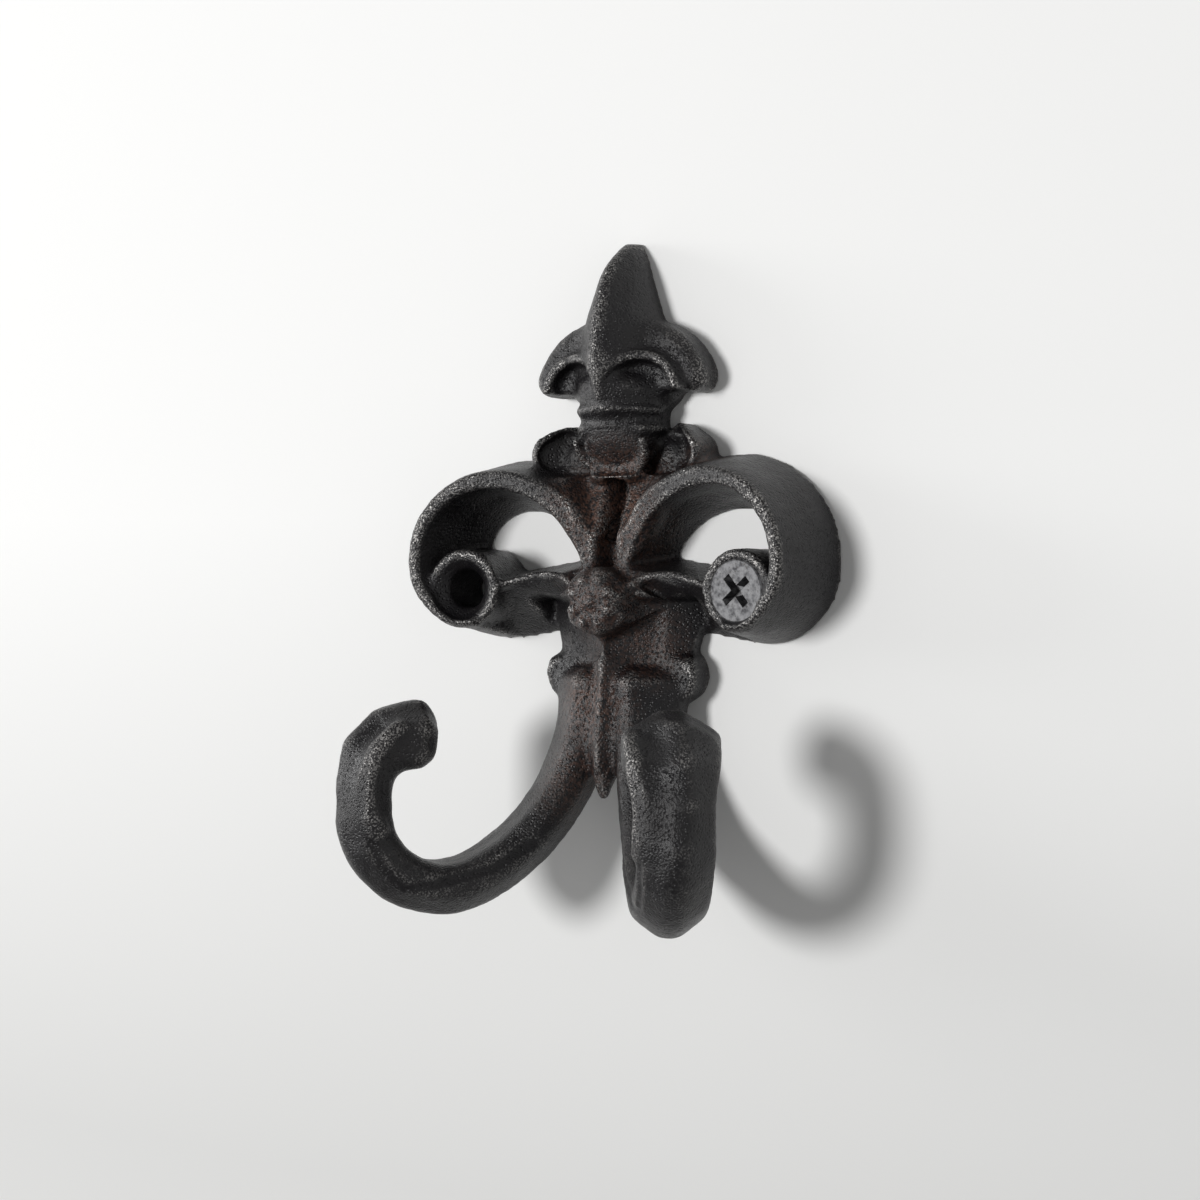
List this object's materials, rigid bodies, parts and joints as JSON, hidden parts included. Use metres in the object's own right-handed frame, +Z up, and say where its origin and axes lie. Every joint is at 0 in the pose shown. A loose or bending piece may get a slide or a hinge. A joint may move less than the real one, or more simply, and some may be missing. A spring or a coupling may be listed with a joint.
{
  "type": "double coat hook",
  "caption": "Cast iron double coat hook for a wall, with a fleur finial, scroll screw eyes and splayed arms with curled tips, and a countersunk wood screw.",
  "frame": {"origin": "on the wall plane at the back of the casting, midway between the two screw eyes", "axes": "+Z up along the casting, +X to the right as seen from the room, +Y into the wall, so the front faces -Y"},
  "size_m": [0.0614, 0.0465, 0.0876],
  "materials": {
    "cast_iron": "rough sand casting, black-brown, with rust in the hollows",
    "screw_steel": "dull zinc grey"
  },
  "bodies": {
    "root": {"hook_casting": "cast_iron", "wood_screw": "screw_steel"}
  },
  "joints": []
}
